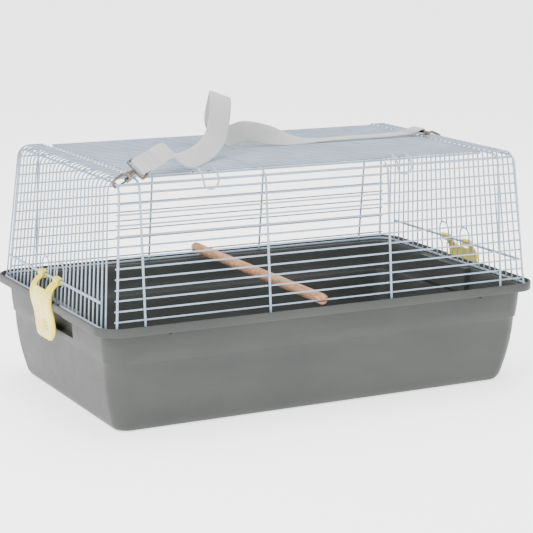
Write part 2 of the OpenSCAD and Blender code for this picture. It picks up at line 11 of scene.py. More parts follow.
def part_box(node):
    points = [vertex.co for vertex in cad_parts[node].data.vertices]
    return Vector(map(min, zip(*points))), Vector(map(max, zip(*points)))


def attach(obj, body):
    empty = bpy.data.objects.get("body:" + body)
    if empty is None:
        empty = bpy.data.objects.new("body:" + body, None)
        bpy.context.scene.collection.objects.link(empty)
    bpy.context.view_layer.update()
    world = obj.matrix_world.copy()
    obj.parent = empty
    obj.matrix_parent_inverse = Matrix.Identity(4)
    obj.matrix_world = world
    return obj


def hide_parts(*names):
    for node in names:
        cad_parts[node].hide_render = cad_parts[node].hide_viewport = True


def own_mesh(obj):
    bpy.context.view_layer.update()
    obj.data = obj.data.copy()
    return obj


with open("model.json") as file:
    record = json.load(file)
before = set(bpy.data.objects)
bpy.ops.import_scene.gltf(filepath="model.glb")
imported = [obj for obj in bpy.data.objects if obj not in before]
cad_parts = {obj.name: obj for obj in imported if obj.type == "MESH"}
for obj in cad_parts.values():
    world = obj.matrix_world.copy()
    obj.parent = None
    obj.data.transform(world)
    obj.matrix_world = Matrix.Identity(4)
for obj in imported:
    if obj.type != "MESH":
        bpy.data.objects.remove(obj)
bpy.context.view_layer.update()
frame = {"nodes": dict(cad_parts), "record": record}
nodes = frame["nodes"]
MM = 0.001
WHITE = (1.0, 1.0, 1.0)


# ---- Camera ----

PHOTO_WIDTH = 533
FOCAL_PIXELS = 1788.9
SENSOR_MM = 36.0
LENS_SHIFT = (-0.0019, -0.0012)


def make_camera():
    """Camera at the photograph's place: azimuth -28.06, elevation 11.93, roll 0.56 degrees."""
    az, el, roll = (math.radians(a) for a in (-28.06, 11.93, 0.56))
    forward = Vector((-math.sin(az) * math.cos(el), math.cos(az) * math.cos(el), -math.sin(el)))
    side = Vector((math.cos(az), math.sin(az), 0))
    up = side.cross(forward)
    right = side * math.cos(roll) + up * math.sin(roll)
    top = up * math.cos(roll) - side * math.sin(roll)
    data = bpy.data.cameras.new("camera")
    data.lens = FOCAL_PIXELS / PHOTO_WIDTH * SENSOR_MM
    data.sensor_width = SENSOR_MM
    data.shift_x, data.shift_y = LENS_SHIFT
    data.clip_end = 100
    camera = bpy.data.objects.new("camera", data)
    bpy.context.scene.collection.objects.link(camera)
    place = Matrix((right, top, -forward)).transposed().to_4x4()
    place.translation = Vector((-0.99518, -1.87473, 0.58649))
    camera.matrix_world = place
    bpy.context.scene.camera = camera


make_camera()


# ---- Mesh helpers ----

def add_mesh(name, verts, faces, uvs=None, values=None):
    """A mesh object from points in metres; uvs are per corner, values are per vertex."""
    mesh = bpy.data.meshes.new(name)
    mesh.from_pydata([tuple(v) for v in verts], [], faces)
    if uvs:
        layer = mesh.uv_layers.new(name="cloth")
        for loop in mesh.loops:
            layer.data[loop.index].uv = uvs[loop.vertex_index]
    if values:
        # per-vertex values are the painted shading that the clip material reads
        layer = mesh.attributes.new("painted_edge_shading", "FLOAT", "POINT")
        layer.data.foreach_set("value", values)
    mesh.validate()
    mesh.update()
    obj = bpy.data.objects.new(name, mesh)
    bpy.context.scene.collection.objects.link(obj)
    return obj


def tidy_normals(obj, sharp_angle=35):
    """Outward normals, smooth shading, and sharp edges above an angle."""
    bm = bmesh.new()
    bm.from_mesh(obj.data)
    bmesh.ops.remove_doubles(bm, verts=bm.verts, dist=1e-6)
    bmesh.ops.recalc_face_normals(bm, faces=bm.faces)
    for face in bm.faces:
        face.smooth = True
    limit = math.radians(sharp_angle)
    for edge in bm.edges:
        edge.smooth = edge.calc_face_angle(0) < limit
    bm.to_mesh(obj.data)
    bm.free()


def apply_modifiers(obj):
    graph = bpy.context.evaluated_depsgraph_get()
    made = bpy.data.meshes.new_from_object(obj.evaluated_get(graph))
    obj.modifiers.clear()
    obj.data = made


def grid_faces(rows, columns, closed=False):
    """Quads of a grid whose points are listed row by row."""
    last = columns if closed else columns - 1
    return [(r * columns + c, r * columns + (c + 1) % columns,
             (r + 1) * columns + (c + 1) % columns, (r + 1) * columns + c)
            for r in range(rows - 1) for c in range(last)]


def join(objects, name):
    """One mesh object from several."""
    bm = bmesh.new()
    for obj in objects:
        bm.from_mesh(obj.data)
    mesh = bpy.data.meshes.new(name)
    bm.to_mesh(mesh)
    bm.free()
    for obj in objects:
        bpy.data.objects.remove(obj)
    made = bpy.data.objects.new(name, mesh)
    bpy.context.scene.collection.objects.link(made)
    return made


def spline(points, steps):
    """A smooth line through points."""
    line = []
    last = len(points) - 1
    for i in range(last):
        a, b = points[max(i - 1, 0)], points[i]
        c, d = points[i + 1], points[min(i + 2, last)]
        for k in range(steps):
            t = k / steps
            line.append((2 * b + (c - a) * t + (2 * a - 5 * b + 4 * c - d) * t * t
                         + (3 * b - a - 3 * c + d) * t * t * t) / 2)
    return line + [points[-1]]


def blend_step(low, high, x):
    t = min(max((x - low) / (high - low), 0), 1)
    return t * t * (3 - 2 * t)


# ---- Webbing strap ----

STRAP_WIDTH = 25 * MM
STRAP_THICK = 1.8 * MM
# Route from the left end to the right end, in metres: its middle, and its width's direction
STRAP_ROUTE = [
    ((-0.210, -0.146, 0.3042), (-0.3, 0.81, 0.5)), ((-0.203, -0.1464, 0.3084), (-0.28, 0.82, 0.5)),
    ((-0.193, -0.143, 0.3096), (-0.25, 0.8, 0.52)), ((-0.181, -0.132, 0.301), (-0.22, 0.82, 0.52)),
    ((-0.165, -0.117, 0.293), (-0.22, 0.82, 0.52)), ((-0.147, -0.100, 0.2915), (-0.35, 0.72, 0.58)),
    ((-0.128, -0.082, 0.2925), (-0.5, 0.6, 0.62)), ((-0.109, -0.064, 0.296), (-0.68, 0.45, 0.58)),
    ((-0.093, -0.048, 0.303), (-0.78, 0.45, 0.44)), ((-0.084, -0.040, 0.315), (-0.8, 0.45, 0.38)),
    ((-0.080, -0.037, 0.331), (-0.8, 0.45, 0.38)), ((-0.077, -0.033, 0.345), (-0.8, 0.45, 0.38)),
    ((-0.074, -0.025, 0.352), (-0.82, 0.44, 0.35)), ((-0.071, -0.016, 0.347), (-0.82, 0.44, 0.35)),
    ((-0.071, -0.009, 0.332), (-0.8, 0.44, 0.38)), ((-0.070, -0.004, 0.316), (-0.75, 0.44, 0.46)),
    ((-0.063, -0.001, 0.303), (-0.6, 0.4, 0.65)), ((-0.052, 0.002, 0.298), (-0.3, 0.35, 0.88)),
    ((-0.041, 0.004, 0.300), (-0.15, 0.3, 0.93)), ((-0.028, 0.005, 0.303), (-0.05, 0.25, 0.96)),
    ((-0.012, 0.006, 0.301), (0, 0.25, 0.96)), ((0.006, 0.007, 0.297), (0.05, 0.4, 0.9)),
    ((0.026, 0.009, 0.2925), (0.05, 0.72, 0.68)), ((0.048, 0.012, 0.288), (0.05, 0.95, 0.3)),
    ((0.072, 0.015, 0.2854), (0, 1, 0.05)), ((0.100, 0.018, 0.2848), (0, 1, 0)),
    ((0.130, 0.020, 0.2848), (0, 1, 0)), ((0.156, 0.020, 0.2848), (0, 1, 0)),
    ((0.180, 0.018, 0.2854), (0, 1, 0)), ((0.194, 0.0165, 0.2862), (0, 1, 0)),
    ((0.2044, 0.0159, 0.2868), (0, 1, 0)),
]
STRAP_STEPS = 6


def webbing_section(width, thick):
    """Half-round selvages and two nearly flat faces, as (across, out) pairs."""
    w, h = width / 2, thick / 2
    across = [-0.96, -0.88, -0.6, -0.3, 0, 0.3, 0.6, 0.88, 0.96]
    upper = [(a * w, h * (0.86 if abs(a) > 0.9 else 1)) for a in across]
    lower = [(a, -o) for a, o in reversed(upper)]
    return upper + [(w, 0.45 * h), (w, -0.45 * h)] + lower + [(-w, -0.45 * h), (-w, 0.45 * h)]


def ribbon(name, middle, across, width, thick):
    """Webbing along a line, with its weave's coordinates in metres."""
    section = webbing_section(width, thick)
    count = len(section)
    last = len(middle) - 1
    verts, uvs, along = [], [], 0.0
    for i, point in enumerate(middle):
        if i:
            along += (point - middle[i - 1]).length
        tangent = (middle[min(i + 1, last)] - middle[max(i - 1, 0)]).normalized()
        out = tangent.cross(across[i]).normalized()
        side = out.cross(tangent)
        for a, o in section:
            verts.append(point + side * a + out * o)
            uvs.append((along, a))
    faces = grid_faces(len(middle), count, closed=True)
    faces += [tuple(reversed(range(count))), tuple(last * count + k for k in range(count))]
    obj = add_mesh(name, verts, faces, uvs)
    for face in obj.data.polygons:
        face.use_smooth = True
    return obj


# ---- Snap hook frames ----

HOOKS = {
    "left": {"at": (-0.2553, -0.1427, 0.2779), "turn": -4, "rise": 30, "roll": -75,
             "loop_roll": 36, "pitch": 0},
    "right": {"at": (0.2553, 0.015865, 0.2779), "turn": 180, "rise": 22, "roll": -90,
              "loop_roll": 0, "pitch": 30},
}
LOOP_BAR_X = 30.5 * MM
LOOP_WIRE = 3 * MM
END_LENGTH = 20 * MM
LEAD_IN = 5 * MM


def hook_frame(side, roll):
    """The matrix that puts a hook's own axes in place, 1 mm on from the wire that it holds."""
    h = HOOKS[side]
    return (Matrix.Translation(h["at"]) @ Matrix.Rotation(math.radians(h["turn"]), 4, "Z")
            @ Matrix.Rotation(math.radians(-h["rise"]), 4, "Y")
            @ Matrix.Rotation(math.radians(roll), 4, "X") @ Matrix.Translation((MM, 0, 0)))


def end_frame(side):
    """The matrix that puts a sewn end's own axes in place, from the outer bar of its loop."""
    h = HOOKS[side]
    return (hook_frame(side, h["loop_roll"]) @ Matrix.Translation((LOOP_BAR_X, 0, 0))
            @ Matrix.Rotation(math.radians(h["pitch"]), 4, "Y"))


def lead_in(side, across):
    """A point of the strap inside a sewn end, so that no gap shows where they meet."""
    turn = end_frame(side)
    width = turn.to_3x3() @ Vector((0, 1, 0))
    return turn @ Vector((END_LENGTH - LEAD_IN, 0, 0)), width if width.dot(across) > 0 else -width


def make_strap():
    points = [Vector(p) for p, _ in STRAP_ROUTE]
    across = [Vector(a).normalized() for _, a in STRAP_ROUTE]
    first, first_across = lead_in("left", across[0])
    last, last_across = lead_in("right", across[-1])
    middle = spline([first, *points, last], STRAP_STEPS)
    widths = spline([first_across, *across, last_across], STRAP_STEPS)
    strap = ribbon("webbing", middle, widths, STRAP_WIDTH, STRAP_THICK)
    return strap, middle[STRAP_STEPS:-STRAP_STEPS]


def capsule(name, a, b, radius, sides=6):
    """A short bar with domed ends, such as a stitch or a grip rib."""
    axis = b - a
    u = axis.orthogonal().normalized()
    v = axis.normalized().cross(u)
    step = axis.normalized() * radius
    rings = [(a - step * 0.8, 0.35), (a - step * 0.3, 0.85), (a, 1), (b, 1),
             (b + step * 0.3, 0.85), (b + step * 0.8, 0.35)]
    verts = [c + (u * math.cos(2 * math.pi * k / sides) + v * math.sin(2 * math.pi * k / sides))
             * radius * s for c, s in rings for k in range(sides)]
    faces = grid_faces(len(rings), sides, closed=True)
    faces += [tuple(reversed(range(sides))), tuple((len(rings) - 1) * sides + k for k in range(sides))]
    obj = add_mesh(name, verts, faces)
    for face in obj.data.polygons:
        face.use_smooth = True
    return obj


def make_sewn_end(side):
    """The end of the webbing, folded round the loop's outer bar and sewn across."""
    ply = STRAP_THICK
    fold = LOOP_WIRE / 2 + 0.3 * MM + ply / 2
    layer = ply / 2 + 0.05 * MM
    # Side view of the fold: [along the strap from the bar, up]
    line = [(END_LENGTH, -layer), (13 * MM, -layer), (8 * MM, -layer * 1.15), (4 * MM, -fold * 0.86)]
    line += [(fold * math.cos(math.radians(a)), fold * math.sin(math.radians(a)))
             for a in range(-60, -301, -20)]
    line += [(4 * MM, fold * 0.86), (8 * MM, layer * 1.15), (13 * MM, layer), (END_LENGTH, layer)]
    middle = spline([Vector((x, 0, z)) for x, z in line], 3)
    across = [Vector((0, 1, 0))] * len(middle)
    pieces = [ribbon("fold", middle, across, STRAP_WIDTH - 0.4 * MM, ply)]
    top = layer + ply / 2
    stitch = 0.33 * MM
    rows = [5.5, 7.5, 9.5, 11.5, 13.5, 15.5, 17.5]
    for row in rows:
        rise = top + max(0, (8.5 - row) * 0.16 * MM)
        for face in (-1, 1):
            for k in range(9):
                y = (-10.4 + k * 2.6) * MM
                pieces.append(capsule("stitch", Vector((row * MM, y - 0.8 * MM, face * rise)),
                                      Vector((row * MM, y + 0.8 * MM, face * rise)), stitch))
    end = join(pieces, side + "_sewn_end")
    end.data.transform(end_frame(side))
    return end


# ---- Tray ----

RIM_HEIGHT = 125.3
HALF_X, HALF_Y = 285.0, 172.5
WALL = 2.5
SHELF = RIM_HEIGHT - 5.6
SKIRT = RIM_HEIGHT - 9.8
UNDER_SHELF = SHELF - WALL
CORNER = 29.0
CORNER_STEPS = 20
CLIP_Y = 5.804
POCKET_START, POCKET_END = CLIP_Y - 62.0, CLIP_Y + 36.0
POCKET_LOW, POCKET_FACE = 90.0, 264.4
SEAT_HALF, SEAT_DEPTH = 32.5, 5.3
# Outer wall, as (height, distance in from the rim's outer face), in millimetres
WALL_OUTLINE = [
    (0, 36), (0.3, 34.6), (0.8, 33.3), (1.7, 31.7), (3, 30.4), (6, 28.5), (10, 27), (20, 24.5),
    (28, 22.5), (37, 20.7), (50, 18.5), (65, 16.7), (79.8, 15.75), (80.4, 15.5), (81.2, 14.6),
    (81.8, 14.1), (95, 12.6), (110, 11.6)
]
RIM_OUTLINE = [
    (UNDER_SHELF - 0.6, 11.2), (UNDER_SHELF, 10.4), (UNDER_SHELF, WALL + 0.6),
    (UNDER_SHELF - 0.6, WALL), (SKIRT, WALL), (SKIRT - 0.02, 0.5), (SKIRT + 0.4, 0.1),
    (SKIRT + 1, 0), (RIM_HEIGHT - 1, 0), (RIM_HEIGHT - 0.3, 0.3), (RIM_HEIGHT, 1),
    (RIM_HEIGHT, WALL - 0.8), (RIM_HEIGHT - 0.3, WALL - 0.2), (RIM_HEIGHT - 0.9, WALL),
    (SHELF + 0.8, WALL + 0.3), (SHELF + 0.2, WALL + 0.6), (SHELF, WALL + 1.2), (SHELF, 12.4),
    (SHELF - 0.3, 13.4), (SHELF - 1.2, 14.0)
]


def tray_ring(z, inset):
    r = CORNER - 0.45 * inset
    x, y = HALF_X - inset - r, HALF_Y - inset - r
    ring = []
    for c in range(4):
        sx = 1 if c in (0, 3) else -1
        sy = 1 if c < 2 else -1
        for s in range(CORNER_STEPS + 1):
            a = math.radians(90 * (c + s / CORNER_STEPS))
            ring.append(Vector((sx * x + r * math.cos(a), sy * y + r * math.sin(a), z)) * MM)
    return ring


def block(name, low, high):
    """A box between two corners in millimetres, used only to cut or back the tray."""
    corners = [Vector((x, y, z)) * MM for x in (low[0], high[0]) for y in (low[1], high[1])
               for z in (low[2], high[2])]
    faces = [(0, 1, 3, 2), (4, 6, 7, 5), (0, 4, 5, 1), (2, 3, 7, 6), (0, 2, 6, 4), (1, 5, 7, 3)]
    return add_mesh(name, corners, faces)


def boolean(obj, tools, operation):
    for tool in tools:
        step = obj.modifiers.new("step", "BOOLEAN")
        step.operation = operation
        step.solver = "EXACT"
        step.object = tool
        apply_modifiers(obj)
        bpy.data.objects.remove(tool)


def end_blocks(name, low, high):
    """The same block at both ends of the tray: the left end is the right one turned half round."""
    right = block(name, (low[0], -high[1], low[2]), (high[0], -low[1], high[2]))
    left = block(name, (-high[0], low[1], low[2]), (-low[0], high[1], high[2]))
    return [right, left]


def make_tray():
    inner = [(z, d + WALL + 0.2) for z, d in reversed(WALL_OUTLINE[6:])]
    inner += [(7, 30.8), (5, 32.4), (3.6, 34.6), (2.8, 37), (WALL, 40)]
    outline = WALL_OUTLINE + RIM_OUTLINE + inner
    verts = [v for z, d in outline for v in tray_ring(z, d)]
    columns = 4 * (CORNER_STEPS + 1)
    rows = len(outline)
    faces = grid_faces(rows, columns, closed=True)
    faces += [tuple(reversed(range(columns))), tuple((rows - 1) * columns + k for k in range(columns))]
    tray = add_mesh("tray_shell", verts, faces)
    tidy_normals(tray)
    boolean(tray, end_blocks("back", (POCKET_FACE - WALL, POCKET_START - WALL, POCKET_LOW - WALL),
                             (POCKET_FACE + 7.0, POCKET_END + WALL, SHELF - 0.6)), "UNION")
    boolean(tray, end_blocks("seat_back", (HALF_X - SEAT_DEPTH - 2.3, CLIP_Y - SEAT_HALF - 3,
                                           UNDER_SHELF + 0.1),
                             (HALF_X - 1.3, CLIP_Y + SEAT_HALF + 3, RIM_HEIGHT - 0.1)), "UNION")
    boolean(tray, end_blocks("pocket", (POCKET_FACE, POCKET_START, POCKET_LOW),
                             (POCKET_FACE + 40, POCKET_END, UNDER_SHELF)), "DIFFERENCE")
    boolean(tray, end_blocks("seat", (HALF_X - SEAT_DEPTH, CLIP_Y - SEAT_HALF, SKIRT - 5),
                             (HALF_X + 15, CLIP_Y + SEAT_HALF, SKIRT + 15)), "DIFFERENCE")
    tidy_normals(tray)
    return tray


# ---- End clips ----

RAIL_X, RAIL_Z = 273.58, 149.0
FINGER_Y, FINGER_HALF = 23.2, 7.0
CLIP_THICK = 2.4
# Middle of a clip's sheet, from its fingers down: (out from the rail, up from the rail)
CLIP_SHEET = [
    (3.2, -2.2), (8, -6), (11.8, -11), (13.8, -17), (14, -25), (12.6, -33),
    (10.2, -42), (8.8, -52), (8.4, -62), (9.4, -70.8)
]
CLIP_FOOT, FOOT_ROUND = -70.8, 17.0
# A finger's curled end, and the slanted grip ribs above the clip's foot
CURL_RADIUS, CURL_THICK, CURL_HALF_ANGLE = 3.15, 3.0, 147
RIB_COUNT, RIB_PITCH, RIB_START = 4, 3.6, 11
RIB_OUT, RIB_RADIUS, RIB_SLOPE = 10.3, 0.9, 18


def clip_half_width(z):
    if z > -18:
        return 30.2 + 0.8 * blend_step(-6, -18, z) if z < -6 else 30.2
    straight = 31 - 2 * min((-18 - z) / 32, 1)
    drop = max(0, CLIP_FOOT + FOOT_ROUND - z)
    return straight - FOOT_ROUND + math.sqrt(max(FOOT_ROUND ** 2 - drop ** 2, 0))


def clip_relief(y, z, half):
    """How far the sheet stands out: rims turned in, channels in the fingers, a raised tongue."""
    rim = -2.6 * blend_step(0.9, 1.0, abs(y) / half)
    foot = -1.6 * blend_step(CLIP_FOOT + 3, CLIP_FOOT, z)
    finger = abs(abs(y) - FINGER_Y)
    channel = -1.5 * blend_step(4.6, 3.2, finger) * blend_step(-19, -14, z) * blend_step(-4, -8, z)
    tongue = 0.6 * blend_step(12, 10.5, abs(y)) * blend_step(-44, -40, z)
    return rim + foot + channel + tongue


def make_clip_sheet():
    """The clip's body and the lower part of its two fingers, as one sheet."""
    line = spline([Vector((x, 0, z)) for x, z in CLIP_SHEET], 5)
    inner = (FINGER_Y - FINGER_HALF) / 30.2
    shares = [0, 0.12, 0.24, 0.33, 0.4, inner, 0.58, 0.62, 0.66, 0.72, 0.77, 0.82, 0.87, 0.91,
              0.94, 0.97, 1.0]
    shares = [-s for s in reversed(shares[1:])] + shares
    verts, painted_shading_values, faces = [], [], []
    columns = len(shares)
    for point in line:
        half = clip_half_width(point.z)
        for share in shares:
            y = share * half
            out = clip_relief(y, point.z, half)
            verts.append(Vector((point.x + out, y, point.z)) * MM)
            # painted shading: a deeper yellow on the outer rims, where the sheet is set back, and on
            # the finger tops
            edge = blend_step(0.9, 1.0, abs(share)) + 0.8 * blend_step(-0.6, -1.4, out + 0.1)
            edge += 0.7 * blend_step(-14, -6, point.z)
            painted_shading_values.append(min(edge, 1))
    notch = -12
    for r in range(len(line) - 1):
        for c in range(columns - 1):
            gap = line[r + 1].z > notch and max(abs(shares[c]), abs(shares[c + 1])) < inner + 0.01
            if not gap:
                a = r * columns + c
                faces.append((a, a + columns, a + columns + 1, a + 1))
    return add_mesh("clip_sheet", verts, faces, values=painted_shading_values)


def make_curl(y):
    """A finger's end, curled round the rail and open towards the cage."""
    steps = 22
    widths = (-1, -0.86, -0.5, 0, 0.5, 0.86, 1)
    radius = CURL_RADIUS
    verts = []
    for s in range(steps + 1):
        a = math.radians(-CURL_HALF_ANGLE + 2 * CURL_HALF_ANGLE * s / steps)
        for w in widths:
            verts.append(Vector((radius * math.cos(a), y + w * FINGER_HALF, radius * math.sin(a))) * MM)
    # the curls carry painted shading at 0.75
    return add_mesh("curl", verts, grid_faces(steps + 1, len(widths)), values=[0.75] * len(verts))


def thicken(obj, thick, levels):
    solid = obj.modifiers.new("thick", "SOLIDIFY")
    solid.thickness = thick * MM
    solid.offset = 0
    solid.use_even_offset = True
    smooth = obj.modifiers.new("smooth", "SUBSURF")
    smooth.levels = levels
    smooth.render_levels = levels
    apply_modifiers(obj)


def make_clip(side):
    sheet = make_clip_sheet()
    thicken(sheet, CLIP_THICK, 1)
    curls = [make_curl(s * FINGER_Y) for s in (-1, 1)]
    for curl in curls:
        thicken(curl, CURL_THICK, 1)
    ribs = []
    for k in range(RIB_COUNT):
        z = CLIP_FOOT + RIB_START + RIB_PITCH * k
        half = 7.5 - 0.6 * k
        middle = Vector((RIB_OUT, -6 + k, z)) * MM
        reach = Vector((0, half, -half * math.tan(math.radians(RIB_SLOPE)))) * MM
        rib = capsule("rib", middle - reach, middle + reach, RIB_RADIUS * MM, 10)
        # each rib carries painted shading at 0.9
        painted_shading_layer = rib.data.attributes.new("painted_edge_shading", "FLOAT", "POINT")
        painted_shading_layer.data.foreach_set("value", [0.9] * len(rib.data.vertices))
        ribs.append(rib)
    clip = join([sheet, *curls, *ribs], side + "_end_clip")
    clip.data.transform(Matrix.Translation(Vector((RAIL_X, CLIP_Y, RAIL_Z)) * MM))
    flipped = (1, 0, 0) if side == "left" else (0, 1, 0)
    clip.data.transform(Matrix.Scale(-1, 4, flipped))
    tidy_normals(clip, 50)
    return clip


# ---- Perch ----

PERCH_ROUGHNESS = 0.28 * MM
# Slots that sit on the lowest long wires: height, half height, inner and outer end, half width
SLOT_Z, SLOT_HALF, SLOT_INNER_Y, SLOT_OUTER_Y, SLOT_REACH = 130.7, 1.25, 161.66, 190, 15


def make_perch():
    """A bare branch with an uneven skin, cut at both ends to sit on the lowest long wires."""
    low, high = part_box("perch")
    middle = (low + high) / 2
    radius = (high.x - low.x) / 2
    length = high.y - low.y
    rings, sides = 180, 40
    verts = []
    ends = [(0, 0.55), (0.2 * MM, 0.8), (0.7 * MM, 0.94), (1.6 * MM, 1)]
    stations = [(low.y + d, s) for d, s in ends]
    body = length - 4 * MM
    stations += [(low.y + 2 * MM + body * k / rings, 1) for k in range(rings + 1)]
    stations += [(high.y - d, s) for d, s in reversed(ends)]
    for y, share in stations:
        for k in range(sides):
            a = 2 * math.pi * k / sides
            place = Vector((math.cos(a) * 0.9, y * 42, math.sin(a) * 0.9))
            rough = noise.noise(place * 3.1) * 0.6 + noise.noise(place * 8.3 + Vector((5, 0, 2))) * 0.4
            r = (radius - PERCH_ROUGHNESS + rough * PERCH_ROUGHNESS) * share
            verts.append(Vector((middle.x + r * math.cos(a), y, middle.z + r * math.sin(a))))
    count = len(stations)
    faces = grid_faces(count, sides, closed=True)
    faces += [tuple(reversed(range(sides))), tuple((count - 1) * sides + k for k in range(sides))]
    perch = add_mesh("branch_perch", verts, faces)
    tidy_normals(perch, 70)
    centre = middle.x / MM
    cuts = []
    for s in (-1, 1):
        near, far = sorted((s * SLOT_INNER_Y, s * SLOT_OUTER_Y))
        cuts.append(block("slot", (centre - SLOT_REACH, near, SLOT_Z - SLOT_HALF),
                          (centre + SLOT_REACH, far, SLOT_Z + SLOT_HALF)))
    boolean(perch, cuts, "DIFFERENCE")
    tidy_normals(perch, 60)
    return perch


# ---- Materials ----

class Paint:
    """A node material around one Principled shader."""

    def __init__(self, name, roughness, metallic=0.0, **sockets):
        self.material = bpy.data.materials.new(name)
        self.material.use_nodes = True
        self.tree = self.material.node_tree
        self.shader = self.tree.nodes["Principled BSDF"]
        self.shader.inputs["Roughness"].default_value = roughness
        self.shader.inputs["Metallic"].default_value = metallic
        for socket, value in sockets.items():
            self.shader.inputs[socket.replace("_", " ")].default_value = value

    def node(self, kind, **settings):
        made = self.tree.nodes.new(kind)
        for key, value in settings.items():
            if key in made.inputs:
                made.inputs[key].default_value = value
            else:
                setattr(made, key, value)
        return made

    def link(self, a, b):
        self.tree.links.new(a, b)

    def coords(self, stretch=(1, 1, 1), kind="Object"):
        place = self.node("ShaderNodeTexCoord")
        scale = self.node("ShaderNodeMapping")
        scale.inputs["Scale"].default_value = stretch
        self.link(place.outputs[kind], scale.inputs["Vector"])
        return scale.outputs["Vector"]

    def noise(self, scale, detail=4, stretch=(1, 1, 1), rough=0.6):
        made = self.node("ShaderNodeTexNoise", Scale=scale, Detail=detail, Roughness=rough)
        self.link(self.coords(stretch), made.inputs["Vector"])
        return made.outputs["Fac"]

    def ramp(self, value, stops):
        made = self.node("ShaderNodeValToRGB")
        ramp = made.color_ramp
        while len(ramp.elements) < len(stops):
            ramp.elements.new(0.5)
        for element, (place, colour) in zip(ramp.elements, stops):
            element.position = place
            element.color = (*colour, 1)
        self.link(value, made.inputs["Fac"])
        return made.outputs["Color"]

    def mix(self, factor, a, b, blend="MIX"):
        made = self.node("ShaderNodeMix", data_type="RGBA", blend_type=blend)
        for socket, value in (("Factor", factor), ("A", a), ("B", b)):
            target = next(i for i in made.inputs if i.name == socket
                          and (i.type == "RGBA" if socket != "Factor" else i.type == "VALUE"))
            if isinstance(value, bpy.types.NodeSocket):
                self.link(value, target)
            elif socket == "Factor":
                target.default_value = value
            else:
                target.default_value = (*value, 1)
        return next(o for o in made.outputs if o.type == "RGBA")

    def math(self, operation, a, b):
        made = self.node("ShaderNodeMath", operation=operation)
        for socket, value in zip(made.inputs, (a, b)):
            if isinstance(value, bpy.types.NodeSocket):
                self.link(value, socket)
            else:
                socket.default_value = value
        return made.outputs[0]

    def colour(self, value):
        self.link(value, self.shader.inputs["Base Color"])

    def roughness(self, value, low, high):
        made = self.node("ShaderNodeMapRange")
        made.inputs["To Min"].default_value = low
        made.inputs["To Max"].default_value = high
        self.link(value, made.inputs["Value"])
        self.link(made.outputs["Result"], self.shader.inputs["Roughness"])

    def bump(self, value, strength, depth):
        made = self.node("ShaderNodeBump", Strength=strength, Distance=depth)
        self.link(value, made.inputs["Height"])
        self.link(made.outputs["Normal"], self.shader.inputs["Normal"])


def tray_plastic():
    """Grey moulded plastic: faint flow marks, a fine grain, light scuffs."""
    paint = Paint("tray_plastic", 0.45, Specular_IOR_Level=0.12)
    flow = paint.noise(7, 3, (1, 1, 2.5))
    base = paint.ramp(flow, [(0.3, (0.056, 0.059, 0.057)), (0.7, (0.068, 0.072, 0.068))])
    speck = paint.ramp(paint.noise(900, 2), [(0.3, (0.93, 0.93, 0.93)), (0.7, WHITE)])
    scuffs = paint.ramp(paint.noise(30, 6, (0.4, 0.4, 4), 0.75), [(0.66, (0, 0, 0)), (0.8, WHITE)])
    tinted = paint.mix(1.0, base, speck, "MULTIPLY")
    paint.colour(paint.mix(paint.math("MULTIPLY", scuffs, 0.10), tinted, (0.13, 0.135, 0.13)))
    paint.roughness(paint.noise(60, 4), 0.34, 0.52)
    grain = paint.math("ADD", paint.noise(1500, 2), paint.math("MULTIPLY", paint.noise(120, 3), 0.6))
    paint.bump(grain, 0.35, 0.00012)
    return paint.material


def wire_paint():
    """Pale blue-white coating with a slight orange peel."""
    paint = Paint("wire_paint", 0.32, Coat_Weight=0.35, Coat_Roughness=0.15)
    tone = paint.ramp(paint.noise(25, 3), [(0.3, (0.26, 0.33, 0.40)), (0.7, (0.33, 0.40, 0.48))])
    paint.colour(tone)
    paint.roughness(paint.noise(200, 3), 0.25, 0.42)
    paint.bump(paint.noise(700, 3), 0.25, 0.00015)
    return paint.material


def clip_plastic():
    """Pale yellow plastic with painted light and shade: a deeper yellow on the rims where they catch
    the light, in the set-back channels and foot, and on the finger tops, curls and ribs.
    """
    paint = Paint("clip_plastic", 0.3, Subsurface_Weight=0.25, Subsurface_Scale=0.004)
    paint.shader.inputs["Subsurface Radius"].default_value = (1.0, 0.8, 0.3)
    # the painted shading attribute mixes in the deeper yellow
    edge = paint.node("ShaderNodeAttribute", attribute_name="painted_edge_shading")
    cloud = paint.ramp(paint.noise(90, 3), [(0.3, (0.76, 0.66, 0.10)), (0.7, (0.84, 0.75, 0.16))])
    paint.colour(paint.mix(edge.outputs["Fac"], cloud, (0.78, 0.61, 0.01)))
    paint.roughness(paint.noise(300, 3), 0.24, 0.38)
    paint.bump(paint.noise(800, 2), 0.15, 0.0001)
    return paint.material


def perch_wood():
    """Bare wood: grain along the branch, small bark rings and pores."""
    paint = Paint("perch_wood", 0.75, Specular_IOR_Level=0.25)
    grain = paint.noise(260, 6, (1, 0.14, 1), 0.7)
    rings = paint.noise(150, 5, (0.5, 1.5, 0.5), 0.65)
    body = paint.ramp(grain, [(0.28, (0.27, 0.12, 0.06)), (0.5, (0.50, 0.285, 0.165)),
                              (0.75, (0.66, 0.40, 0.27))])
    marks = paint.ramp(rings, [(0.36, (0.62, 0.5, 0.43)), (0.5, WHITE)])
    paint.colour(paint.mix(0.85, body, marks, "MULTIPLY"))
    paint.roughness(grain, 0.6, 0.85)
    paint.bump(paint.math("ADD", grain, rings), 0.7, 0.0006)
    return paint.material


def hook_metal():
    """Dark nickel plate, brushed by handling."""
    paint = Paint("hook_metal", 0.26, 1.0)
    wear = paint.noise(220, 5, (1, 1, 1), 0.7)
    paint.colour(paint.ramp(wear, [(0.3, (0.10, 0.085, 0.075)), (0.6, (0.20, 0.17, 0.15)),
                                   (0.8, (0.38, 0.35, 0.32))]))
    paint.roughness(wear, 0.18, 0.42)
    paint.bump(paint.noise(1400, 3), 0.2, 0.0001)
    return paint.material


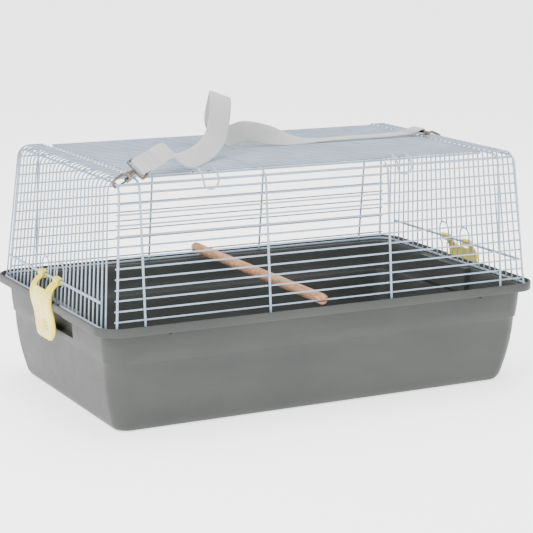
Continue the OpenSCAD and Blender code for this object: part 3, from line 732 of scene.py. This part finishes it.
def webbing_cloth():
    """Off-white webbing: warp ribs and a fine weft with painted shade in the weave's hollows, and a
    soft sheen.
    """
    paint = Paint("webbing_cloth", 0.85, Sheen_Weight=0.35, Sheen_Roughness=0.4)
    weave = []
    for direction, period in (("X", 0.0017), ("Y", 0.0021)):
        wave = paint.node("ShaderNodeTexWave", wave_type="BANDS", bands_direction=direction,
                          Scale=2 * math.pi / (20 * period), Distortion=0.0)
        paint.link(paint.coords(kind="UV"), wave.inputs["Vector"])
        weave.append(wave.outputs["Fac"])
    height = paint.math("MULTIPLY", weave[0], weave[1])
    # painted shade: the colour darkens where the weave is low, between the threads
    painted_weave_shade = paint.ramp(height, [(0.0, (0.38, 0.38, 0.39)), (0.6, (0.50, 0.50, 0.50))])
    soil = paint.ramp(paint.noise(35, 4), [(0.35, (0.95, 0.945, 0.93)), (0.65, WHITE)])
    paint.colour(paint.mix(1.0, painted_weave_shade, soil, "MULTIPLY"))
    paint.bump(height, 0.6, 0.0003)
    return paint.material


# ---- Build ----

strap, strap_line = make_strap()
sewn_ends = [make_sewn_end("left"), make_sewn_end("right")]
tray = make_tray()
clips = {side: make_clip(side) for side in ("left", "right")}
perch = make_perch()

materials = {
    "tray_plastic": tray_plastic(), "wire_paint": wire_paint(), "clip_plastic": clip_plastic(),
    "perch_wood": perch_wood(), "hook_metal": hook_metal(), "webbing": webbing_cloth(),
}


def finish_piece(obj, slot):
    """Gives a new piece its material."""
    obj.data.materials.clear()
    obj.data.materials.append(materials[slot])


def dress_frame():
    """Gives every CAD node that stays its own material."""
    for part in frame["record"]["subparts"]:
        obj = nodes[part["node"]]
        obj.data.materials.clear()
        obj.data.materials.append(materials[part["material_slot"]])


dress_frame()
finish_piece(strap, "webbing")
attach(strap, "cover")
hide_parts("strap")
for side, end in zip(("left", "right"), sewn_ends):
    finish_piece(end, "webbing")
    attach(end, side + "_swivel")
    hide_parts(side + "_strap_end")
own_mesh(strap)

finish_piece(tray, "tray_plastic")
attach(tray, "tray")
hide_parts("tray")
for side, clip in clips.items():
    finish_piece(clip, "clip_plastic")
    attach(clip, side + "_clip")
    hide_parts(side + "_clip")
finish_piece(perch, "perch_wood")
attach(perch, "perch")
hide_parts("perch")


# ---- Floor and lights ----

FLOOR_HALF, FLOOR_Z = 30, -0.0004
SKY_STRENGTH = 1.5
AIM = (0, 0, 0.12)
# name, place, diameter, power
LIGHTS = [
    ("key", (-1.9, -0.9, 1.7), 1.2, 50),
    ("fill", (1.2, -2.0, 1.3), 1.6, 6),
    ("top", (0.2, 0.3, 2.2), 1.6, 42),
]


def make_floor():
    corners = [(-1, -1), (1, -1), (1, 1), (-1, 1)]
    floor = add_mesh("floor", [(x * FLOOR_HALF, y * FLOOR_HALF, FLOOR_Z) for x, y in corners],
                     [(0, 1, 2, 3)])
    paint = Paint("pale_floor", 0.6, Specular_IOR_Level=0.1, Emission_Strength=1.7)
    paint.shader.inputs["Emission Color"].default_value = (1, 1, 1, 1)
    paint.colour(paint.ramp(paint.noise(3, 2), [(0.3, (0.97, 0.97, 0.97)), (0.7, (0.98, 0.98, 0.98))]))
    floor.data.materials.append(paint.material)


def area_light(name, place, target, size, power):
    data = bpy.data.lights.new(name, "AREA")
    data.shape = "DISK"
    data.size = size
    data.energy = power
    light = bpy.data.objects.new(name, data)
    light.location = place
    light.rotation_euler = (Vector(target) - Vector(place)).to_track_quat("-Z", "Y").to_euler()
    bpy.context.scene.collection.objects.link(light)


def make_lights():
    world = bpy.data.worlds.new("studio")
    world.use_nodes = True
    sky = world.node_tree.nodes["Background"]
    sky.inputs["Color"].default_value = (1, 1, 1, 1)
    sky.inputs["Strength"].default_value = SKY_STRENGTH
    bpy.context.scene.world = world
    for name, place, size, power in LIGHTS:
        area_light(name, place, AIM, size, power)


make_floor()
make_lights()
